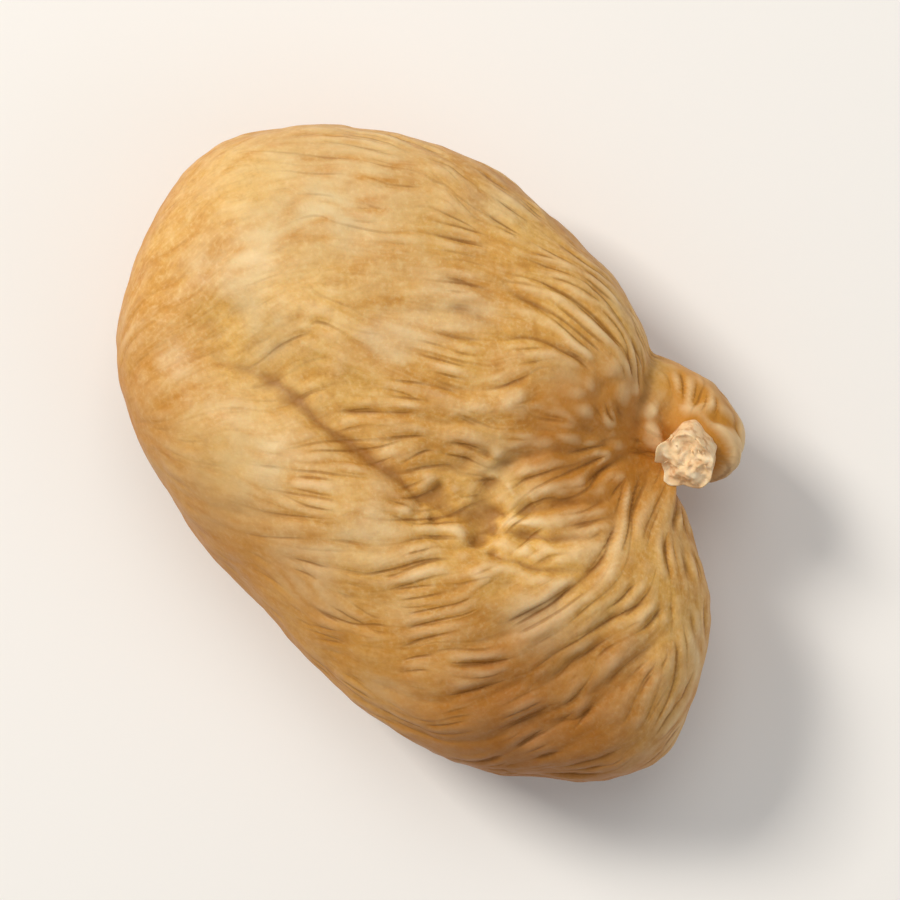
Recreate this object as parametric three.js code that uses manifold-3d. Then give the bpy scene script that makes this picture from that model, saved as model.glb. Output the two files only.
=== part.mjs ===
// A dried fig, pressed into a thick cushion and lying on one of its broad sides.
// Millimetres, +Z up. The origin is under the middle of the fig, on the plane that it lies on.
// +X runs along the fig's length and +Y points to the side where its neck and stem stub are.
//
// The fruit, its neck and its stem stub grew as one piece, so the object is one solid:
//   1. a cushion, round at the rim, whose plan follows PLAN_OUTLINE
//   2. hollows and a long fold pressed into its upper side
//   3. a fleshy neck, pressed into the dip of the stem side, with the cut stub on its end
//   4. a flat where the fruit was pressed and dried on a tray
import * as THREE from "three";
import { mergeVertices } from "three/addons/utils/BufferGeometryUtils.js";
import Module from "manifold-3d";

// Driving dimensions of the cushion.
const RIM_HEIGHT = 9; // height at which the fig is widest
const DOME_HEIGHT = 11.5; // from the rim up to the top
const BELLY_DEPTH = 10; // from the rim down; more than RIM_HEIGHT, so the belly ends in a flat
const RIM_FULLNESS = 2.4; // exponent of the rim's section: 2 is an ellipse, more is squarer
const CUSHION_CENTRE = new THREE.Vector2(0, -2);
const SURFACE_DETAIL = 15; // splits of an icosahedron's edge

// The plan at the rim, anticlockwise from the blunt end. The stem side dips in at x = 8.
const PLAN_OUTLINE = [
  [-26.8, -2],
  [-24.2, -10],
  [-18, -16.3],
  [-8, -18.9],
  [2, -17.5],
  [13, -15],
  [20.6, -11.2],
  [24.7, -6.4],
  [26.7, -2],
  [26.4, 1.8],
  [23.9, 5.6],
  [19.8, 9.5],
  [14.5, 11.4],
  [8.5, 12],
  [1, 16.2],
  [-8, 15.4],
  [-17, 11.6],
  [-24, 5.4],
];

// The upper side falls away towards the stem and towards the narrow end.
const FALL_DIRECTION = new THREE.Vector2(0.85, 0.5);
const FALL_PER_MM = 0.0045; // share of the dome's height

// Soft hollows in the upper side: where, how wide and how deep.
const HOLLOWS = [
  { x: 8.5, y: 9, radius: 5, depth: 3.4 }, // the skin draws in towards the stem
  { x: 4.5, y: 0.5, radius: 4, depth: 1.3 }, // the pucker that the folds run to
  { x: -8, y: 6, radius: 7, depth: 0.6 },
  { x: 15, y: -4, radius: 6, depth: 0.5 },
];

// The long fold across the upper side, from the blunt end to the pucker.
const FOLD_ROUTE = [
  [-15, -8],
  [-11, -7],
  [-6, -5.5],
  [-1, -3.5],
  [4, -1],
];
const FOLD_WIDTH = 2.8;
const FOLD_DEPTH = 1.1;

// The fleshy neck lies in the dip of the stem side. Its profile gives the radius against the
// distance along its route, and the stub's does the same.
const NECK_ROUTE = [
  [0, 6, 8.5],
  [4, 11, 9],
  [7.6, 14.7, 9.8],
  [10, 15.3, 12.4],
];
const NECK_PROFILE = [
  [0, 0],
  [5.2, 0],
  [4.9, 5],
  [4.4, 9],
  [3.8, 11.5],
  [2.7, 13.4],
  [0, 14.3],
];

// The cut stem stub stands up out of the neck's end, and flares a little where it was torn.
const STUB_ROUTE = [
  [9.4, 14.8, 11],
  [9.8, 14.2, 13.1],
  [10.2, 13.3, 15.1],
];
const STUB_PROFILE = [
  [0, 0],
  [2.4, 0],
  [2.1, 1.8],
  [1.8, 3],
  [2.1, 4.2],
  [0, 4.5],
];
const NECK_SIDES = 18;
const RING_STEP = 0.9; // length of one ring of the neck or the stub

function closedPlanCurve() {
  const points = PLAN_OUTLINE.map(([x, y]) => new THREE.Vector3(x, y, 0));
  return new THREE.CatmullRomCurve3(points, true, "centripetal");
}

// Distance from the cushion's centre to its outline, for any direction in plan.
function planRadiusAt() {
  const samples = closedPlanCurve()
    .getPoints(720)
    .map((point) => {
      const arm = new THREE.Vector2(point.x, point.y).sub(CUSHION_CENTRE);
      return { angle: arm.angle(), radius: arm.length() };
    })
    .sort((a, b) => a.angle - b.angle);
  return (angle) => {
    const turn = (angle + 2 * Math.PI) % (2 * Math.PI);
    const next = samples.findIndex((sample) => sample.angle >= turn);
    const after = samples[Math.max(next, 0)];
    const before = samples[(Math.max(next, 0) + samples.length - 1) % samples.length];
    const span = THREE.MathUtils.euclideanModulo(after.angle - before.angle, 2 * Math.PI);
    const into = THREE.MathUtils.euclideanModulo(turn - before.angle, 2 * Math.PI);
    return THREE.MathUtils.lerp(before.radius, after.radius, span > 0 ? into / span : 0);
  };
}

function bell(distance, width) {
  return Math.exp(-((distance / width) ** 2));
}

// How far the upper side is pressed in at a place in plan.
function pressedIn(place, foldPoints) {
  const hollows = HOLLOWS.reduce((sum, hollow) => {
    const distance = Math.hypot(place.x - hollow.x, place.y - hollow.y);
    return sum + hollow.depth * bell(distance, hollow.radius);
  }, 0);
  const toFold = Math.min(...foldPoints.map((point) => point.distanceTo(place)));
  return hollows + FOLD_DEPTH * bell(toFold, FOLD_WIDTH);
}

function cushionGeometry() {
  const geometry = new THREE.IcosahedronGeometry(1, SURFACE_DETAIL);
  const radiusAt = planRadiusAt();
  const foldPoints = new THREE.SplineCurve(
    FOLD_ROUTE.map(([x, y]) => new THREE.Vector2(x, y)),
  ).getPoints(60);
  const position = geometry.getAttribute("position");
  const direction = new THREE.Vector3();
  const place = new THREE.Vector2();
  for (let i = 0; i < position.count; i++) {
    direction.fromBufferAttribute(position, i);
    const level = Math.hypot(direction.x, direction.y);
    const round =
      (level ** RIM_FULLNESS + Math.abs(direction.z) ** RIM_FULLNESS) ** (-1 / RIM_FULLNESS);
    const radius = radiusAt(Math.atan2(direction.y, direction.x)) * level * round;
    place
      .set(direction.x, direction.y)
      .normalize()
      .multiplyScalar(radius)
      .add(CUSHION_CENTRE);
    let height = RIM_HEIGHT + BELLY_DEPTH * direction.z * round;
    if (direction.z > 0) {
      const dome = DOME_HEIGHT * (1 - FALL_PER_MM * place.dot(FALL_DIRECTION));
      const share = direction.z * round;
      height = RIM_HEIGHT + dome * share - pressedIn(place, foldPoints) * share;
    }
    position.setXYZ(i, place.x, place.y, height);
  }
  return geometry;
}

// A lathe profile with rings no further apart than RING_STEP.
function ringedProfile(profile) {
  const rings = [];
  profile.slice(1).forEach(([radius, along], i) => {
    const [lastRadius, lastAlong] = profile[i];
    const count = Math.max(1, Math.round((along - lastAlong) / RING_STEP));
    for (let ring = 0; ring < count; ring++) {
      const share = ring / count;
      rings.push(
        new THREE.Vector2(
          THREE.MathUtils.lerp(lastRadius, radius, share),
          THREE.MathUtils.lerp(lastAlong, along, share),
        ),
      );
    }
  });
  rings.push(new THREE.Vector2(...profile.at(-1)));
  return rings;
}

// A turned shape whose straight axis is bent along a route.
function bentLathe(profile, routePoints) {
  const geometry = new THREE.LatheGeometry(ringedProfile(profile), NECK_SIDES);
  const route = new THREE.CatmullRomCurve3(
    routePoints.map((point) => new THREE.Vector3(...point)),
  );
  const length = profile.at(-1)[1];
  const position = geometry.getAttribute("position");
  const sideways = new THREE.Vector3();
  const across = new THREE.Vector3();
  for (let i = 0; i < position.count; i++) {
    const share = Math.min(position.getY(i) / length, 1);
    const centre = route.getPointAt(share);
    const along = route.getTangentAt(share);
    sideways.crossVectors(along, new THREE.Vector3(0, 0, 1)).normalize();
    across.crossVectors(sideways, along);
    centre.addScaledVector(sideways, position.getX(i));
    centre.addScaledVector(across, position.getZ(i));
    position.setXYZ(i, centre.x, centre.y, centre.z);
  }
  return geometry;
}

const wasm = await Module();
wasm.setup();

// A closed solid from any geometry whose faces meet edge to edge and point out.
function solidFrom(geometry) {
  const bare = new THREE.BufferGeometry()
    .setIndex(geometry.index)
    .setAttribute("position", geometry.getAttribute("position"));
  const merged = mergeVertices(bare, 1e-4);
  return new wasm.Manifold(
    new wasm.Mesh({
      numProp: 3,
      vertProperties: new Float32Array(merged.attributes.position.array),
      triVerts: new Uint32Array(merged.index.array),
    }),
  );
}

function geometryFrom(solid) {
  const mesh = solid.getMesh();
  return new THREE.BufferGeometry()
    .setAttribute("position", new THREE.BufferAttribute(mesh.vertProperties, 3))
    .setIndex(new THREE.BufferAttribute(mesh.triVerts, 1))
    .toNonIndexed();
}

function figGeometry() {
  const tray = new THREE.BoxGeometry(100, 100, 20).translate(0, 0, -10);
  const fruit = solidFrom(cushionGeometry())
    .add(solidFrom(bentLathe(NECK_PROFILE, NECK_ROUTE)))
    .add(solidFrom(bentLathe(STUB_PROFILE, STUB_ROUTE)));
  const geometry = geometryFrom(fruit.subtract(solidFrom(tray)));
  geometry.computeBoundingBox();
  const middle = geometry.boundingBox.getCenter(new THREE.Vector3());
  geometry.translate(-middle.x, -middle.y, 0);
  geometry.computeVertexNormals();
  return geometry;
}

const figSkin = new THREE.MeshStandardMaterial({
  color: 0xd0a060,
  roughness: 0.55,
  metalness: 0,
});

const driedFig = new THREE.Mesh(figGeometry(), figSkin);
driedFig.name = "dried_fig";

const part = new THREE.Group();
part.add(driedFig);
export default part;
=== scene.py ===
# %% [markdown]
# # A dried fig
# A fig that was dried on a tray and pressed with others is a thick cushion of soft flesh in a
# tough, waxy skin. The flesh shrank as it dried and the skin didn't, so the skin lies in wrinkles.
# They run like the lines of longitude on a globe, from the stem to the eye on the other side.
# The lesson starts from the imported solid, gives its skin a fine even mesh, finds the way the
# wrinkles run, presses them in, and then works on the colours of the skin and on the torn stem.

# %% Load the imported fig
import bpy
import numpy as np
from math import radians
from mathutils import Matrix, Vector, noise


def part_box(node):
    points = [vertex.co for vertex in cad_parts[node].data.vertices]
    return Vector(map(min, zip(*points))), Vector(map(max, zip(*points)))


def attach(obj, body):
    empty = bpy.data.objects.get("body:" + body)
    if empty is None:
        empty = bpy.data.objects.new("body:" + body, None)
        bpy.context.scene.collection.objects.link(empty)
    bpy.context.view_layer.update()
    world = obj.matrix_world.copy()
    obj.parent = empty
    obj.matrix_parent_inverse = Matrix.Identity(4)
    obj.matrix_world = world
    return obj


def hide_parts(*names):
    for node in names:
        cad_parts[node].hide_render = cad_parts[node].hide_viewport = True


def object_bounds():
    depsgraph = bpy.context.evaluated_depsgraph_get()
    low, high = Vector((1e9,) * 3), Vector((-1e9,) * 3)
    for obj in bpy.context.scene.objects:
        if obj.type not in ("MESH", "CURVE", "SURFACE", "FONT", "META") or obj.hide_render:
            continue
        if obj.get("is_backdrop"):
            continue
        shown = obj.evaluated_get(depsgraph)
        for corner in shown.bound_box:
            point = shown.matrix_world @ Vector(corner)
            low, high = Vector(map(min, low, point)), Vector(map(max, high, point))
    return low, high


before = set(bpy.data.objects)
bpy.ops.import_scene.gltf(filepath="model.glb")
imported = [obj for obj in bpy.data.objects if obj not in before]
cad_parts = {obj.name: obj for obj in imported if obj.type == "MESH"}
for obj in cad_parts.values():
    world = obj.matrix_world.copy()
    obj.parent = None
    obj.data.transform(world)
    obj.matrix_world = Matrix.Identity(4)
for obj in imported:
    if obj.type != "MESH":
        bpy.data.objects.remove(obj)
cad_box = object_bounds()
MM = 0.001
FIG = "dried_fig"
low_corner, high_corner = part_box(FIG)
fig_size = high_corner - low_corner
print("the packed fig, mm:", [round(side / MM, 1) for side in fig_size])

# %% [markdown]
# ## The camera
# The fig is seen from straight above, with its stem side to the right. A long lens keeps the
# rims from bulging, as they would for an eye that is too close. The camera is turned about the
# vertical, because the fig lies slanting in the view.

# %% Camera from above
VIEW_TURN = radians(57)
LENS_MM = 120
SENSOR_MM = 36
VIEW_WIDTH = 64 * MM
VIEW_CENTRE = Vector((0.4, 0, 0)) * MM
NEAREST_SEEN = 10 * MM

camera_data = bpy.data.cameras.new("studio_camera")
camera_data.lens = LENS_MM
camera_data.sensor_width = SENSOR_MM
camera_data.clip_start = NEAREST_SEEN
camera = bpy.data.objects.new("studio_camera", camera_data)
bpy.context.scene.collection.objects.link(camera)
camera_height = VIEW_WIDTH * LENS_MM / SENSOR_MM + fig_size.z / 2
camera.location = VIEW_CENTRE + Vector((0, 0, camera_height))
camera.rotation_euler = (0, 0, VIEW_TURN)
bpy.context.scene.camera = camera
print("camera height, mm:", round(camera_height / MM))

# %% [markdown]
# ## Two helpers for materials
# Colours are easiest to judge as the hex values of a paint program. Those are sRGB, while a
# shader works in linear light, so one function turns the first into the second. Another adds a
# shader node, sets what it is told and joins its inputs to other nodes.

# %% Colour and node helpers
MIX_A, MIX_B, MIX_RESULT = 6, 7, 2  # a mix node's two colours and its result


def linear(hex_colour):
    channels = [int(hex_colour[i : i + 2], 16) / 255 for i in (1, 3, 5)]
    return [c / 12.92 if c <= 0.04045 else ((c + 0.055) / 1.055) ** 2.4 for c in channels] + [1]


def add_node(tree, kind, settings=None, links=None):
    node = tree.nodes.new(kind)
    for name, value in (settings or {}).items():
        if isinstance(name, int) or name in node.inputs:
            node.inputs[name].default_value = value
        else:
            setattr(node, name, value)
    for name, source in (links or {}).items():
        tree.links.new(source, node.inputs[name])
    return node


def new_material(name):
    material = bpy.data.materials.new(name)
    material.use_nodes = True
    material.node_tree.nodes.clear()
    return material


print("straw yellow in linear light:", [round(c, 3) for c in linear("#E3BE7C")])

# %% [markdown]
# ## The table and the light
# A sheet of matt card stands in for the table. Its diffuse white throws soft light
# back under the fig. The main light is a large soft box up and to the left of the view, so that
# the left rim is bright and every wrinkle has a light and a dark side. A weaker one fills in from
# the other side.

# %% Table of matt card
CARD_SIZE = 3.0  # metres

card_mesh = bpy.data.meshes.new("table_card")
half = CARD_SIZE / 2
card_corners = [(-half, -half, 0), (half, -half, 0), (half, half, 0), (-half, half, 0)]
card_mesh.from_pydata(card_corners, [], [(0, 1, 2, 3)])
card = bpy.data.objects.new("table_card", card_mesh)
bpy.context.scene.collection.objects.link(card)
matt_card = new_material("matt_card")
card_shader = add_node(
    matt_card.node_tree,
    "ShaderNodeBsdfPrincipled",
    {"Base Color": linear("#F1EEE9"), "Roughness": 0.9, "Specular IOR Level": 0.2},
)
add_node(
    matt_card.node_tree,
    "ShaderNodeOutputMaterial",
    links={"Surface": card_shader.outputs["BSDF"]},
)
card_mesh.materials.append(matt_card)
card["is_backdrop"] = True
print("card, m:", CARD_SIZE)

# %% Soft boxes
view_right = Vector((np.cos(VIEW_TURN), np.sin(VIEW_TURN), 0))
view_up = Vector((-np.sin(VIEW_TURN), np.cos(VIEW_TURN), 0))
SOFT_BOXES = {
    # name: (right, up, height in metres, side of the box, watts, colour)
    "key_light": (-0.41, 0.31, 0.51, 0.20, 3.8, "#FFFAF3"),
    "fill_light": (0.55, -0.30, 0.40, 0.50, 0.6, "#F2F6FF"),
    "top_light": (0.0, 0.30, 0.70, 0.40, 1.1, "#FFFFFF"),
}

for name, (right, up, height, side, watts, colour) in SOFT_BOXES.items():
    light_data = bpy.data.lights.new(name, "AREA")
    light_data.size = side
    light_data.energy = watts
    light_data.color = linear(colour)[:3]
    light = bpy.data.objects.new(name, light_data)
    light.location = view_right * right + view_up * up + Vector((0, 0, height))
    light.rotation_euler = light.location.to_track_quat("Z", "Y").to_euler()
    bpy.context.scene.collection.objects.link(light)

ROOM_LIGHT = 0.33  # of full white, from all sides
world = bpy.data.worlds.new("studio_room")
world.use_nodes = True
room = world.node_tree.nodes["Background"]
room.inputs["Color"].default_value = linear("#FFFFFF")
room.inputs["Strength"].default_value = ROOM_LIGHT
bpy.context.scene.world = world
bpy.context.scene.view_settings.view_transform = "Standard"
print("lights:", list(SOFT_BOXES))

# %% [markdown]
# ## A fine, even skin
# Wrinkles need a mesh whose faces are all alike and much smaller than a wrinkle. The packed
# solid has flat facets of about a millimetre. A voxel remesh lays a new skin over a copy of it,
# and averaging each point with its neighbours a few times melts the facets away.

# %% Remesh a copy of the solid
VOXEL = 0.265 * MM

skin = bpy.data.objects.new("fig_skin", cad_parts[FIG].data.copy())
bpy.context.scene.collection.objects.link(skin)
remesh = skin.modifiers.new("even_skin", "REMESH")
remesh.mode = "VOXEL"
remesh.voxel_size = VOXEL
remesh.use_smooth_shade = True
even_skin = skin.evaluated_get(bpy.context.evaluated_depsgraph_get())
skin_mesh = bpy.data.meshes.new_from_object(even_skin)
skin.modifiers.clear()
skin.data = skin_mesh
skin_mesh.name = "fig_skin"
skin_mesh.materials.clear()

point_count = len(skin_mesh.vertices)
points = np.empty(point_count * 3)
skin_mesh.vertices.foreach_get("co", points)
points = points.reshape(-1, 3) / MM  # from here on the skin is worked on in millimetres
edges = np.empty(len(skin_mesh.edges) * 2, int)
skin_mesh.edges.foreach_get("vertices", edges)
edges = edges.reshape(-1, 2)
quads = np.empty(len(skin_mesh.loops), int)
skin_mesh.loops.foreach_get("vertex_index", quads)
quads = quads.reshape(-1, 4)
print("points:", point_count, "triangles:", 2 * len(quads))

# %% Average and smooth
neighbour_count = np.bincount(edges.ravel(), minlength=point_count)


def neighbour_mean(values, rounds=1):
    """Each point's value becomes the mean of its neighbours' values, a few times over."""
    first, second = edges.T
    columns = [np.asarray(column, float) for column in values.reshape(point_count, -1).T]
    for _ in range(rounds):
        columns = [
            (
                np.bincount(first, column[second], point_count)
                + np.bincount(second, column[first], point_count)
            )
            / neighbour_count
            for column in columns
        ]
    return np.array(columns).T.reshape(values.shape)


def unit(vectors):
    return vectors / np.maximum(np.linalg.norm(vectors, axis=-1, keepdims=True), 1e-9)


def outward(places):
    """The skin's outward direction at each point."""
    corners = places[quads]
    face_out = np.cross(corners[:, 2] - corners[:, 0], corners[:, 3] - corners[:, 1])
    sums = [
        np.bincount(quads.ravel(), np.repeat(face_out[:, axis], 4), point_count)
        for axis in range(3)
    ]
    return unit(np.array(sums).T)


FACET_ROUNDS = 24
STEP_IN, STEP_OUT = 0.5, 0.52  # in and out again, so that smoothing doesn't shrink the fig
for _ in range(FACET_ROUNDS):
    points += STEP_IN * (neighbour_mean(points) - points)
    points -= STEP_OUT * (neighbour_mean(points) - points)
out = outward(points)
print("smooth skin spans, mm:", np.round(np.ptp(points, axis=0), 1))

# %% [markdown]
# ## Which way the wrinkles run
# A globe's lines of longitude leave one pole and meet at the other. On a shape as uneven as a
# fig they can be had from two charges: the lines of force between them fan out from the stem,
# go round the rims and close in on the eye. Only their direction along the skin is needed.

# %% The wrinkles' direction
STEM_POLE = np.array([8.0, 11.5, 9.5])
EYE_POLE = np.array([-11.5, -16.6, 6.0])
FORCE_ROUNDS = 8


def apart(pole):
    away = points - pole
    return away, np.linalg.norm(away, axis=1)


from_eye, eye_distance = apart(EYE_POLE)
from_stem, stem_distance = apart(STEM_POLE)
force = from_eye / eye_distance[:, None] ** 2 - from_stem / stem_distance[:, None] ** 2
force -= np.sum(force * out, axis=1, keepdims=True) * out
along = unit(neighbour_mean(unit(force), FORCE_ROUNDS))
across = unit(np.cross(out, along))
print("nearest the eye, mm:", round(eye_distance.min(), 2))

# %% [markdown]
# ## Soft noise and soft masks
# Nothing on a fruit repeats exactly or ends at a hard line. Noise that is smooth over a few
# millimetres varies a pattern from place to place, and a bell or a ramp lets it fade out.

# %% Noise, bells and ramps
NOISE_GAIN = 1.6  # brings the noise to about -1 to 1
SEED_SHIFT = Vector((17.3, 5.1, 9.7))


def soft_noise(size, seed=0):
    """Smooth noise, from about -1 to 1, whose lumps are size mm across."""
    shift = seed * SEED_SHIFT
    lumps = [noise.noise(Vector(place) / size + shift) for place in points]
    return NOISE_GAIN * np.array(lumps)


def bell(distance, width):
    return np.exp(-((distance / width) ** 2))


def ramp(values, start, end):
    share = np.clip((values - start) / (end - start), 0, 1)
    return share * share * (3 - 2 * share)


def plan_distance(x, y):
    return np.hypot(points[:, 0] - x, points[:, 1] - y)


SWAY_SIZE = 4.5  # mm
sway_noise = soft_noise(SWAY_SIZE, 9)
print("noise from", round(sway_noise.min(), 2), "to", round(sway_noise.max(), 2))

# %% [markdown]
# ## Wrinkles from many short combs
# A wrinkle pattern has a direction and a spacing but no start: wrinkles fork, fade and merge.
# Each of many small patches gets a short comb of waves across the wrinkles' direction. The
# patches first agree with their neighbours on where their waves lie, by passing their phases
# round a few times. Then they are added up, and where they can't agree, a wrinkle ends or forks.
# With no waves in the combs, the same sum gives streaks for the colours.

# %% Combs along the skin
order = np.argsort(points[:, 0])
sorted_points = points[order]
PHASE_ROUNDS = 30
REACH = 2.2  # how many lengths of a patch it still counts


def combs(length, breadth, spacing, overlap, sway, seed):
    """Waves that run along the wrinkles: how strong they are, and their phase, at each point."""
    draw = np.random.default_rng(seed)
    count = int(overlap * SKIN_AREA / (np.pi * length * breadth))
    seats = draw.choice(point_count, count, replace=False)
    seat, outwards = points[seats], out[seats]
    turned = sway * sway_noise[seats, None]
    lengthways = np.cos(turned) * along[seats] + np.sin(turned) * across[seats]
    sideways = np.cos(turned) * across[seats] - np.sin(turned) * along[seats]
    waves = 2 * np.pi / spacing if spacing else 0
    phase = np.exp(2j * np.pi * draw.random(count))
    if spacing:
        gap = seat[None] - seat[:, None]
        side_gap = np.einsum("ijk,ik->ij", gap, sideways)
        weight = (np.einsum("ijk,ik->ij", gap, lengthways) / length) ** 2
        weight += (side_gap / breadth) ** 2
        weight += (np.einsum("ijk,ik->ij", gap, outwards) / breadth) ** 2
        link = np.exp(-weight + 1j * waves * side_gap).T
        for _ in range(PHASE_ROUNDS):
            phase = link @ phase
            phase /= np.abs(phase)
    total = np.zeros(point_count, complex)
    starts = np.searchsorted(sorted_points[:, 0], seat[:, 0] - REACH * length)
    ends = np.searchsorted(sorted_points[:, 0], seat[:, 0] + REACH * length)
    for i in range(count):
        gap = sorted_points[starts[i] : ends[i]] - seat[i]
        side = gap @ sideways[i]
        near = np.flatnonzero(np.abs(side) < REACH * breadth)
        gap, side = gap[near], side[near]
        weight = (gap @ lengthways[i] / length) ** 2 + (side / breadth) ** 2
        weight += (gap @ outwards[i] / breadth) ** 2
        wave = np.exp(-weight + 1j * waves * side) * phase[i]
        total[order[near + starts[i]]] += wave
    return np.abs(total), np.angle(total)


corner = points[quads]
SKIN_AREA = 0.5 * np.linalg.norm(
    np.cross(corner[:, 2] - corner[:, 0], corner[:, 3] - corner[:, 1]), axis=1
).sum()
print("skin, square mm:", round(SKIN_AREA))

# %% Three sizes of wrinkle
WRINKLES = {
    # name: (patch length, patch breadth, spacing, overlap, sway, seed), all lengths in mm
    "folds": (6.5, 2.4, 3.4, 6, 0.4, 3),
    "wrinkles": (3.2, 1.3, 1.7, 5, 0.5, 5),
    "crinkles": (2.2, 0.75, 1.0, 3.6, 0.55, 8),
}

ARCH_MEAN = 0.64  # the mean height of the arch between two valleys
layers, phases, strengths = {}, {}, {}
for name, sizes in WRINKLES.items():
    strength, phase = combs(*sizes)
    strength = np.clip(strength / np.percentile(strength, 80), 0, 1.2)
    phases[name], strengths[name] = phase, strength
    # A valley is sharp and a ridge is round, as in any skin that is too large.
    layers[name] = strength * (np.abs(np.sin(phase / 2)) - ARCH_MEAN)
    print(name, "from", round(layers[name].min(), 2), "to", round(layers[name].max(), 2))

# %% [markdown]
# ## Where the skin is smooth and where it is gathered
# The blunt side's rim is taut and nearly smooth. The skin is gathered at the stem, and along
# the narrow lobe below it, where the fig was bent. Broad noise makes the wrinkles come and go.

# %% Masks
upper = ramp(out[:, 2], -0.1, 0.5)
gathered = bell(stem_distance, 13)
narrow_lobe = bell(plan_distance(16, -1), 9) * upper
come_and_go = ramp(soft_noise(6, 1), -0.7, 0.6)
patchy = 0.1 + 1.2 * ramp(soft_noise(2.6, 10), -0.6, 0.7)
taut_rim = ramp(-from_stem @ unit(STEM_POLE - EYE_POLE), 16, 30)
print("taut rim covers", round(100 * taut_rim.mean()), "percent")

# %% Long folds pressed in
FOLDS = [
    # route in plan, width and depth in mm
    ([(-14, -9.6), (-10.5, -7.6), (-5.6, -6.2), (-1.6, -4.8), (2, -3), (5, -0.5), (7, 2)], 0.6, 0.4),
    ([(-15.5, -10.8), (-11, -8), (-5.6, -6.2), (-1.6, -4.8), (2, -3), (6, 0)], 2.1, 0.8),
    ([(-18, -14), (-15, -10.8), (-11.5, -8.4), (-7, -6.6)], 3.4, 0.9),
    ([(-7.6, 9.8), (-5, 10.8), (-2.3, 11.5)], 0.45, 0.35),
    ([(-11.6, -1.4), (-8.5, 3.5), (-6.2, 6.9), (-3, 8.8)], 0.6, 0.25),
    ([(-4.2, -2.4), (-1, 2.4), (1, 5)], 0.6, 0.3),
    ([(9.4, -6.6), (13, -3.8), (13.8, 0.1), (12.5, 3.5), (10, 6.5)], 0.7, 0.26),
    ([(12.8, -7.6), (17.2, -4), (17.7, 0.2), (15.6, 4.6), (13, 7.4)], 0.7, 0.26),
    ([(18, -8.4), (20.9, -3), (20.6, 2.5), (18, 7)], 0.8, 0.35),
    ([(3.0, 1.6), (5.2, 0.2), (6.5, -2.2), (9, -4)], 0.7, 0.35),
    ([(4.5, -0.6), (7, 3.5), (9.5, 8)], 0.45, 0.45),
    ([(5.2, -1.2), (9, 2.6), (11.5, 6.8)], 0.45, 0.45),
    ([(6.2, -2.6), (10.5, 0.4), (12.8, 4.8)], 0.45, 0.4),
    ([(2.6, 0.8), (3.4, 4.2), (6, 8.6)], 0.5, 0.35),
    ([(4.6, 0.8), (2.2, -2.6), (3, -5)], 0.5, 0.25),
]


FOLD_SHARPNESS = 1.3  # 2 would be a bell, less is sharper
LIP_HEIGHT = 0.2  # of the fold's depth


def fold(route, width, depth):
    """A pressed-in line, deepest at the middle of its route, with a low lip on each side."""
    stops = np.array(route)
    share = np.linspace(0, len(stops) - 1, 16 * len(stops))
    line = np.column_stack([np.interp(share, range(len(stops)), stops[:, k]) for k in (0, 1)])
    gap = np.linalg.norm(wandering[:, None] - line[None], axis=2)
    nearest = gap.argmin(axis=1)
    distance = gap.min(axis=1) / width
    taper = np.clip(np.sin(np.pi * nearest / (len(line) - 1)), 0, 1)
    profile = LIP_HEIGHT * bell(distance - 2, 1) - np.exp(-(distance**FOLD_SHARPNESS))
    return depth * taper * profile * upper


wandering = points[:, :2] + 0.5 * np.column_stack([soft_noise(7, 2), soft_noise(7, 3)])
creases = sum(fold(*each) for each in FOLDS)
print("deepest fold, mm:", round(-creases.min(), 2))

# %% [markdown]
# ## Knots, hollows and lumps
# Where the folds meet, the skin bunches up in small knots. Near the neck it is pebbled. The
# whole fig is a little uneven, because the seeds and flesh inside it are.

# %% Knots and pebbles
def knots(x, y, spread, count, sizes, height, seed):
    """Small round bumps scattered about a place in plan."""
    draw = np.random.default_rng(seed)
    total = np.zeros(point_count)
    for dx, dy, share in draw.normal(size=(count, 3)):
        radius = np.interp(share, (-1.5, 1.5), sizes)
        total = np.maximum(total, bell(plan_distance(x + spread * dx, y + spread * dy), radius))
    return height * total * upper


knotted = knots(4.2, 0.8, 1.9, 12, (0.7, 1.2), 0.38, 4)
knotted -= knots(5.0, 0, 1.9, 14, (0.35, 0.6), 0.3, 15)
pebbled = knots(4, 9.5, 2.5, 22, (0.55, 1.0), 0.24, 6)
hollows = -0.8 * bell(plan_distance(-16, 1), 5) - 0.9 * bell(plan_distance(4, 0), 8)
hollows *= upper
lumps = 0.35 * soft_noise(9, 4) + 0.12 * soft_noise(3.5, 5) + 0.035 * soft_noise(1.2, 13)
print("knots up to, mm:", round(knotted.max(), 2))

# %% [markdown]
# ## The eye
# Opposite the stem a fig has its eye, a small hole ringed with dry scales, that closed as the
# fruit dried. Here it is on the lower side of the taut rim.

# %% Eye on the rim
EYE_RADIUS = 1.7  # mm
SCALE_COUNT = 5
eye_seat = points[eye_distance.argmin()]
eye_gap = np.linalg.norm(points - eye_seat, axis=1)
eye_sideways = (points - eye_seat) @ across[eye_distance.argmin()]
eye_lengthways = (points - eye_seat) @ along[eye_distance.argmin()]
scales = 1 + 0.35 * np.cos(SCALE_COUNT * np.arctan2(eye_sideways, eye_lengthways))
eye = 0.35 * bell(eye_gap - EYE_RADIUS, 0.6) * scales
eye -= 0.6 * bell(eye_gap, 0.8) + 0.35 * bell(eye_gap, 3.2)
print("eye at, mm:", np.round(eye_seat, 1))

# %% [markdown]
# ## Press it all in
# Each field is a height above or below the smooth skin. They are added up, weighted by the
# masks, and move each point along the skin's outward direction. Nothing may go through the
# tray that the fig dried on, so ridges on the underside are flattened.

# %% Move the skin
STUB_BASE = np.array([9.4, 14.8, 11.4])
STUB_TIP = np.array([10.6, 12.7, 15.0])
NECK_CHEEK = np.array([12.6, 16.4, 10.5])  # the neck is fuller on this side of the stub

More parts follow.
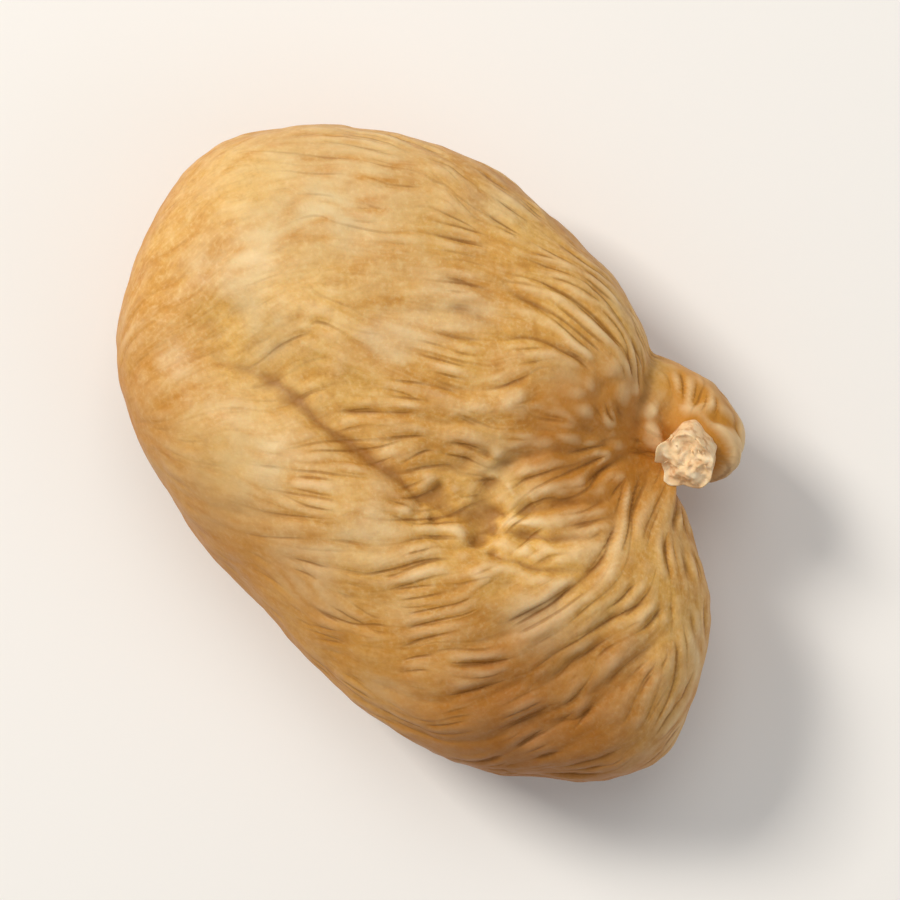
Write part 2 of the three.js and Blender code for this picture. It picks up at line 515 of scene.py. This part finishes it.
smooth_top = bell(plan_distance(-18, 2), 9) * upper
ease = (1 - 0.75 * taut_rim) * (1 - 0.6 * smooth_top)
relief = layers["folds"] * (0.13 + 0.2 * gathered + 0.25 * narrow_lobe) * come_and_go
relief += layers["wrinkles"] * (0.19 + 0.1 * gathered + 0.06 * narrow_lobe) * ease * patchy
relief += layers["crinkles"] * (0.12 + 0.04 * gathered) * ease * patchy
neck_cheek = 1.5 * bell(np.linalg.norm(points - NECK_CHEEK, axis=1), 3.6)
total = relief + creases + knotted + pebbled + hollows + lumps + eye + neck_cheek

stub_axis = unit(STUB_TIP - STUB_BASE)
up_stub = (points - STUB_BASE) @ stub_axis
off_stub = points - STUB_BASE - up_stub[:, None] * stub_axis
from_axis = np.linalg.norm(off_stub, axis=1)
near_stub = ramp(-from_axis, -3.7, -2.7) * ramp(up_stub, 0.3, 1.2)
wrinkled = points + out * (total * (1 - near_stub))[:, None]
sunk = np.maximum(up_stub - 2.2, 0)[:, None] * stub_axis
wrinkled -= near_stub[:, None] * (0.35 * off_stub + sunk)
wrinkled[:, 2] = np.maximum(wrinkled[:, 2], 0)
skin_mesh.vertices.foreach_set("co", (wrinkled * MM).ravel())
skin_mesh.update()
print("wrinkled skin spans, mm:", np.round(np.ptp(wrinkled, axis=0), 1))

# %% [markdown]
# ## What the colours follow
# Colour sits where the form puts it: painted shade darkens the valleys, a painted highlight makes
# the crests pale, the neck is darkest, and a painted orange glow on the sides of the rims stands in
# for light let through the taut skin. Painted amber shade darkens the lower side and the narrow
# lobe, and dried sugar lies in chalky streaks on the other side. Those places are measured on the
# finished skin and stored on it for the material to read.

# %% Measure crests and valleys
FINE_DEPTH = 0.16  # mm, how deep a wrinkle's valley is
BROAD_DEPTH = 0.6  # mm, and a fold's
FINE_ROUNDS, BROAD_ROUNDS = 6, 60

new_out = outward(wrinkled)


def hollow_at(rounds):
    """How far each point lies below the mean of the skin around it."""
    around = neighbour_mean(wrinkled, rounds)
    return np.sum((around - wrinkled) * new_out, axis=1)


fine_hollow = hollow_at(FINE_ROUNDS)
broad_hollow = hollow_at(BROAD_ROUNDS)
# where this is positive it paints shade in the valleys, where negative a highlight on the crests
crease_shade = 0.75 * np.clip(fine_hollow / FINE_DEPTH, -1, 1)
crease_shade += 0.25 * np.clip(broad_hollow / BROAD_DEPTH, -1, 1)
streak_strength, streak_phase = combs(1.5, 0.32, 0, 1.8, 0.8, 12)
streak = streak_strength * np.cos(streak_phase)
streak /= np.percentile(np.abs(streak), 95)
print("creases:", round(np.percentile(crease_shade, 98), 2), "streaks:", round(streak.std(), 2))

# %% Store them on the skin
# painted shade: where the skin faces this way it is darker and amber, as if warm light bounced onto
# it
SHADED_SIDE = unit(np.array([0.5, -0.85, -0.15]))
CHALKY = [(-20, 3, 8), (-7, -12.9, 5.5), (3.2, 2.4, 1.8), (0.8, 9.8, 1.8)]  # place, radius, mm

chalk = sum(bell(plan_distance(x, y), radius) for x, y, radius in CHALKY) * upper
streaky = np.clip(0.72 + 0.5 * streak + 0.2 * soft_noise(1.3, 14), 0, 1)
fields = {
    # painted shade in the valleys
    "crease_shade": np.clip(crease_shade, 0, 1),
    # painted highlight on the wrinkles' crests
    "crest_highlight": np.clip(-crease_shade, 0, 1),
    "streak": np.clip(0.5 + 0.5 * streak, 0, 1),
    "neck_brown": ramp(-plan_distance(5.5, 9), -8, -3) * ramp(points[:, 2], 8, 11),
    "neck_amber": ramp(points[:, 1] + 0.3 * points[:, 0], 15, 18) * ramp(points[:, 0], 3, 5),
    "stub_shade": bell(np.linalg.norm(points - STUB_BASE - 1.5 * stub_axis, axis=1), 2.7),
    # painted shade on the narrow lobe, which faces away from the light
    "lobe_shade": ramp(-plan_distance(20, -5), -13, -3),
    # painted amber shade on the side facing away from the light
    "shaded_side": ramp(out @ SHADED_SIDE, -0.05, 0.65),
    # painted glow: orange where the skin faces sideways or down, standing in for light let through
    # the rims
    "painted_rim_glow": ramp(-new_out[:, 2], -0.75, 0.1),
    "bloom": ramp(soft_noise(5, 7), 0.0, 0.9) * upper * streaky,
    "chalk": np.clip(chalk * streaky, 0, 1),
    "eye_scales": bell(eye_gap, 2.8),
    "wrinkle_cosine": np.cos(phases["wrinkles"]),
    "wrinkle_sine": np.sin(phases["wrinkles"]),
    "wrinkle_depth": np.clip(strengths["wrinkles"] * patchy * ease, 0, 1),
    "crinkle_cosine": np.cos(phases["crinkles"]),
    "crinkle_sine": np.sin(phases["crinkles"]),
    "crinkle_depth": np.clip(strengths["crinkles"] * patchy * ease, 0, 1) ** 2,
}
for name, values in fields.items():
    attribute = skin_mesh.attributes.new(name, "FLOAT", "POINT")
    attribute.data.foreach_set("value", values.astype(np.float32))
    print(name, "mean", round(float(values.mean()), 2))

# %% [markdown]
# ## Dried fig skin
# The skin is a thin, leathery rind, half see-through, with wax on it and syrup below. Light goes
# in, is warmed by the flesh and comes out a millimetre away, so creases glow orange-brown in
# place of going black, and painted orange-brown shade in the creases adds to that. The wax gives a
# satin shine of about the same IOR as any plant wax, 1.45.

# %% Marks and patterns of the skin
PATTERNS = {
    # name: (size in mm, detail)
    "broad_tone": (7, 3),
    "rosy_patch": (5.5, 3),
    "amber_patch": (4, 3),
    "wax": (1.5, 3),
    "mottle": (0.9, 4),
    "speckle": (0.35, 3),
    "grain": (0.45, 5),
}

dried_skin = new_material("dried_fig_skin")
tree = dried_skin.node_tree
place = add_node(tree, "ShaderNodeTexCoord").outputs["Object"]
marks = {
    name: add_node(tree, "ShaderNodeAttribute", {"attribute_name": name}).outputs["Fac"]
    for name in fields
}
for name, (size, detail) in PATTERNS.items():
    settings = {"Scale": 1 / (size * MM), "Detail": detail, "Roughness": 0.55}
    pattern = add_node(tree, "ShaderNodeTexNoise", settings, {"Vector": place})
    marks[name] = pattern.outputs["Fac"]
print("marks to read:", len(marks))

# %% [markdown]
# ## Fine lines in the valleys
# The smallest wrinkles are creases as thin as a hair, too thin for the mesh. Each comb left its
# phase on the skin, and where the cosine of the phase is near one there is the bottom of a
# valley. A line drawn there follows the wrinkle that it lies in; its dark colour is painted shade,
# and a bump presses it in a little. Stretching noise along the same phase gives faint streaks of
# dried juice between the lines.

# %% Lines and streaks
LINE_EDGE = {"wrinkle": 0.9, "crinkle": 0.75}  # the cosine where a valley's line starts
STREAK_LENGTH = 1.6  # mm

compass, lines = {}, {}
for name, edge in LINE_EDGE.items():
    ends = {"X": marks[name + "_cosine"], "Y": marks[name + "_sine"]}
    arm = add_node(tree, "ShaderNodeCombineXYZ", links=ends)
    needle = add_node(
        tree, "ShaderNodeVectorMath", {"operation": "NORMALIZE"}, {0: arm.outputs[0]}
    )
    axes = add_node(tree, "ShaderNodeSeparateXYZ", links={0: needle.outputs[0]})
    line = add_node(tree, "ShaderNodeMapRange", {"From Min": edge}, {"Value": axes.outputs["X"]})
    strong = add_node(
        tree,
        "ShaderNodeMath",
        {"operation": "MULTIPLY"},
        {0: line.outputs["Result"], 1: marks[name + "_depth"]},
    )
    compass[name], lines[name] = needle.outputs[0], strong.outputs[0]
either = add_node(
    tree,
    "ShaderNodeMath",
    {"operation": "MAXIMUM"},
    {0: lines["wrinkle"], 1: lines["crinkle"]},
)
# the lines' strength: it paints shade in the thin valleys and drives their bump
marks["valley_line_shade"] = either.outputs[0]

slow_place = add_node(
    tree,
    "ShaderNodeVectorMath",
    {"operation": "SCALE", "Scale": 1 / (STREAK_LENGTH * MM)},
    {0: place},
)
streak_place = add_node(
    tree,
    "ShaderNodeVectorMath",
    {"operation": "ADD"},
    {0: compass["wrinkle"], 1: slow_place.outputs[0]},
)
juice = add_node(
    tree,
    "ShaderNodeTexNoise",
    {"Scale": 1.0, "Detail": 3, "Roughness": 0.5},
    {"Vector": streak_place.outputs[0]},
)
marks["juice"] = juice.outputs["Fac"]
print("marks with lines and streaks:", len(marks))

# %% [markdown]
# ## Layers of colour
# The colour is built the way a painter glazes it, from the straw yellow of the dried skin up to
# the painted brown shade of the creases. Each layer has one colour, follows one mark, and never
# covers more than its share, so the layers below still show. Some layers paint light and shade:
# shade in the creases, along the valley lines, under the stub, on the lobe and on the lower side,
# a highlight on the crests and a glow on the rims.

# %% Colours of the skin
SKIN_BASE = "#CC923F"
SKIN_LAYERS = [
    # colour, the mark it follows, where on the mark it begins and is full, its share
    ("#DBA956", "broad_tone", 0.42, 0.62, 1.0),
    ("#BE7E2E", "amber_patch", 0.52, 0.75, 0.35),
    ("#D59C66", "rosy_patch", 0.55, 0.75, 0.35),
    ("#EAC88A", "mottle", 0.5, 0.72, 0.3),
    ("#AE742C", "mottle", 0.47, 0.28, 0.34),
    ("#F0D49C", "speckle", 0.52, 0.72, 0.3),
    ("#A46C28", "speckle", 0.46, 0.28, 0.3),
    ("#E4BC76", "streak", 0.5, 1.0, 0.22),
    ("#A0651F", "streak", 0.45, 0.0, 0.2),
    ("#E9C88C", "juice", 0.48, 0.75, 0.22),
    ("#A86E26", "juice", 0.48, 0.25, 0.2),
    # painted orange glow on the rims
    ("#B87118", "painted_rim_glow", 0.2, 1.0, 0.65),
    ("#E8D6AC", "bloom", 0.0, 1.0, 0.42),
    ("#D6BE8C", "chalk", 0.0, 1.0, 0.62),
    ("#B26C14", "neck_brown", 0.0, 1.0, 0.68),
    ("#C07F22", "neck_amber", 0.0, 1.0, 0.85),
    # painted highlight on the crests
    ("#F3D7A6", "crest_highlight", 0.08, 0.8, 0.65),
    # painted amber shade on the lower side
    ("#B06E12", "shaded_side", 0.0, 1.0, 0.52),
    # painted shade on the narrow lobe
    ("#8A4804", "lobe_shade", 0.0, 1.0, 0.6),
    # painted shade along the thin valley lines
    ("#825018", "valley_line_shade", 0.0, 1.0, 0.5),
    # painted shade in the creases
    ("#854E0B", "crease_shade", 0.08, 0.9, 0.68),
    ("#6A3F2C", "stub_shade", 0.3, 0.9, 0.7),
    ("#6E3F16", "eye_scales", 0.2, 0.9, 0.8),
]

colour = None
for hex_colour, mark, begins, full, share in SKIN_LAYERS:
    cover = add_node(
        tree,
        "ShaderNodeMapRange",
        {"From Min": begins, "From Max": full, "To Max": share},
        {"Value": marks[mark]},
    )
    settings = {"data_type": "RGBA", MIX_A: linear(SKIN_BASE), MIX_B: linear(hex_colour)}
    links = {"Factor": cover.outputs["Result"]}
    if colour is not None:
        links[MIX_A] = colour
    colour = add_node(tree, "ShaderNodeMix", settings, links).outputs[MIX_RESULT]
print("layers:", len(SKIN_LAYERS), "nodes:", len(tree.nodes))

# %% Shine and grain of the skin
LINE_DEPTH = 0.1 * MM
GRAIN_DEPTH = 0.09 * MM

below_line = add_node(
    tree, "ShaderNodeMapRange", {"To Min": 1.0, "To Max": 0.0}, {"Value": marks["valley_line_shade"]}
)
line_bump = add_node(
    tree,
    "ShaderNodeBump",
    {"Strength": 0.4, "Distance": LINE_DEPTH},
    {"Height": below_line.outputs["Result"]},
)
grain_bump = add_node(
    tree,
    "ShaderNodeBump",
    {"Strength": 0.6, "Distance": GRAIN_DEPTH},
    {"Height": marks["grain"], "Normal": line_bump.outputs["Normal"]},
)
satin = add_node(
    tree,
    "ShaderNodeMapRange",
    {"From Min": 0.3, "From Max": 0.7, "To Min": 0.43, "To Max": 0.62},
    {"Value": marks["wax"]},
)
skin_shader = add_node(
    tree,
    "ShaderNodeBsdfPrincipled",
    {
        "IOR": 1.45,
        "Specular IOR Level": 0.3,
        "Subsurface Weight": 0.15,
        "Subsurface Radius": (1.0, 0.45, 0.2),
        "Subsurface Scale": 0.6 * MM,
    },
    {
        "Base Color": colour,
        "Roughness": satin.outputs["Result"],
        "Normal": grain_bump.outputs["Normal"],
    },
)
add_node(tree, "ShaderNodeOutputMaterial", links={"Surface": skin_shader.outputs["BSDF"]})
skin_mesh.materials.append(dried_skin)
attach(skin, "root")
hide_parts(FIG)
print("skin triangles:", 2 * len(quads))

# %% [markdown]
# ## The torn stem
# A fig is pulled off its twig by hand, and what stays on the neck is a short stub of pale wood.
# Its bark stands up in ragged teeth on the side that tore last, around a bumpy core of pith. It
# is turned ring by ring like a lathe's work, and noise makes the edge and the core uneven.

# %% Ragged stub
AROUND = 96
STUB_RADIUS = 1.9  # mm
STUB_FOOT = 1.6  # mm, the part inside the neck
STUB_LENGTH = 2.9  # mm
STUB_ROWS = {
    # name: (rows, share of the radius from and to, share of the height from and to)
    "bark": (16, 1.0, 1.0, 0.0, 1.0),
    "edge": (4, 1.0, 0.82, 1.0, 0.98),
    "pith": (16, 0.82, 0.0, 0.98, 1.08),
}

turn = np.linspace(0, 2 * np.pi, AROUND, endpoint=False)
stub_side = unit(np.cross(stub_axis, (1, 0, 0)))
stub_front = np.cross(stub_axis, stub_side)
torn_late = 0.5 + 0.5 * np.sin(turn)  # 1 on the side that tore last


def ring_noise(size, seed, reach=1):
    """Noise on a circle of the given reach, so that it closes on itself around the stub."""
    seats = [(reach * np.cos(a), reach * np.sin(a), seed) for a in turn]
    return NOISE_GAIN * np.array([noise.noise(Vector(seat) / size) for seat in seats])


teeth = 0.7 * ring_noise(0.7, 1) + 0.4 * ring_noise(0.25, 2)
claws = torn_late**2 * ramp(ring_noise(0.5, 8), -0.2, 0.5)
edge_height = STUB_LENGTH * (1 + 0.12 * teeth + 0.3 * claws)
fluting = 1 + 0.04 * ring_noise(0.3, 3) + 0.2 * ring_noise(1.1, 4)
share_rows = np.vstack(
    [
        np.column_stack([np.linspace(r0, r1, rows + 1), np.linspace(h0, h1, rows + 1)])[:-1]
        for rows, r0, r1, h0, h1 in STUB_ROWS.values()
    ]
)
rings = []
for radius_share, height_share in share_rows:
    flare = 1 + (0.06 + 0.06 * teeth + 0.5 * claws) * height_share**3
    radius = STUB_RADIUS * radius_share * flare * fluting
    height = (edge_height + STUB_FOOT) * height_share - STUB_FOOT
    core = 1 - radius_share**3
    bumps = 0.4 * ring_noise(0.6, 5, radius_share) + 0.18 * ring_noise(0.2, 7, radius_share)
    height += core * (bumps + STUB_LENGTH - edge_height)
    rings.append(
        STUB_BASE
        + stub_axis * height[:, None]
        + stub_side * (radius * np.cos(turn))[:, None]
        + stub_front * (radius * np.sin(turn))[:, None]
    )
print("stub's teeth, mm:", round(np.ptp(edge_height), 2))

# %% [markdown]
# ## Torn fibres
# Where wood tears, single bundles of fibres stay standing. Each one is a thin tapering tube on
# the stub's top that bends over a little, most of them on the side that tore last.

# %% Fibres and the finished stub
FIBRES = 22
FIBRE_SIDES = 6
FIBRE_STEPS = 7
FIBRE_RADIUS = 0.12  # mm


def tube_faces(first, rows, sides):
    """The faces of a tube whose rings of points start at first, with both ends closed."""
    rim = [[first + row * sides + i for i in range(sides)] for row in range(rows)]
    faces = [tuple(reversed(rim[0])), tuple(rim[-1])]
    for low, high in zip(rim, rim[1:]):
        for i in range(sides):
            j = (i + 1) % sides
            faces.append((low[i], low[j], high[j], high[i]))
    return faces


draw = np.random.default_rng(21)
stub_faces = tube_faces(0, len(rings), AROUND)
fibre_turn = np.linspace(0, 2 * np.pi, FIBRE_SIDES, endpoint=False)[:, None]
fibre_ring = FIBRE_RADIUS * (np.cos(fibre_turn) * stub_side + np.sin(fibre_turn) * stub_front)
for _ in range(FIBRES):
    stub_faces += tube_faces(sum(map(len, rings)), FIBRE_STEPS, FIBRE_SIDES)
    angle = draw.normal(np.pi / 2, 1.3)
    outwards = np.cos(angle) * stub_side + np.sin(angle) * stub_front
    foot = STUB_BASE + 0.75 * STUB_LENGTH * stub_axis
    foot = foot + STUB_RADIUS * draw.uniform(0.4, 1.1) * outwards
    length = draw.uniform(0.6, 1.2)
    bend = outwards * draw.uniform(0, 0.5)
    for step in np.linspace(0, 1, FIBRE_STEPS):
        centre = foot + length * (step * stub_axis + step**2 * bend)
        rings.append(centre + (1.15 - step) * fibre_ring)

stub_mesh = bpy.data.meshes.new("stem_stub")
stub_mesh.from_pydata((np.vstack(rings) * MM).tolist(), [], stub_faces)
stub_mesh.validate()
stub_mesh.shade_smooth()
stub = bpy.data.objects.new("stem_stub", stub_mesh)
bpy.context.scene.collection.objects.link(stub)
print("stub points:", len(stub_mesh.vertices))

# %% [markdown]
# ## Torn stem wood
# Dry sapwood, torn along its grain, is matt and pale cream where the tear is fresh. Darker pores
# and pits lie between the fibres. Light goes a little way into it, which softens the small bumps.

# %% Colours of the stub
stem_wood = new_material("torn_stem_wood")
tree = stem_wood.node_tree
place = add_node(tree, "ShaderNodeTexCoord").outputs["Object"]
WOOD_BASE = "#EFCB9A"
WOOD_LAYERS = [
    # colour, size of its patches in mm, its share
    ("#B97F48", 0.7, 0.75),
    ("#F8E3BE", 1.2, 0.8),
]

colour = None
for hex_colour, size, share in WOOD_LAYERS:
    settings = {"Scale": 1 / (size * MM), "Detail": 3}
    patches = add_node(tree, "ShaderNodeTexNoise", settings, {"Vector": place})
    cover = add_node(
        tree,
        "ShaderNodeMapRange",
        {"From Min": 0.5, "From Max": 0.7, "To Max": share},
        {"Value": patches.outputs["Fac"]},
    )
    settings = {"data_type": "RGBA", MIX_A: linear(WOOD_BASE), MIX_B: linear(hex_colour)}
    links = {"Factor": cover.outputs["Result"]}
    if colour is not None:
        links[MIX_A] = colour
    colour = add_node(tree, "ShaderNodeMix", settings, links).outputs[MIX_RESULT]

PORE_SIZE = 0.3 * MM
PORE_DEPTH = 0.08 * MM
pores = add_node(
    tree, "ShaderNodeTexNoise", {"Scale": 1 / PORE_SIZE, "Detail": 3}, {"Vector": place}
)
pore_bump = add_node(
    tree,
    "ShaderNodeBump",
    {"Strength": 0.6, "Distance": PORE_DEPTH},
    {"Height": pores.outputs["Fac"]},
)
wood_shader = add_node(
    tree,
    "ShaderNodeBsdfPrincipled",
    {
        "Roughness": 0.75,
        "Subsurface Weight": 0.15,
        "Subsurface Radius": (1.0, 0.6, 0.35),
        "Subsurface Scale": 0.5 * MM,
    },
    {"Base Color": colour, "Normal": pore_bump.outputs["Normal"]},
)
add_node(tree, "ShaderNodeOutputMaterial", links={"Surface": wood_shader.outputs["BSDF"]})
stub_mesh.materials.append(stem_wood)
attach(stub, "root")
print("materials:", [m.name for m in bpy.data.materials if m.users])

# %% [markdown]
# ## Sizes, and done
# The box of the imported fig and the box of what is shown are gathered side by side, and the
# box of what is shown is printed.

# %% Gather the sizes and finish
visual_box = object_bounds()
sizes = {"cad": [list(p) for p in cad_box], "visual": [list(p) for p in visual_box]}
print("shown, mm:", [[round(x / MM, 2) for x in p] for p in visual_box])
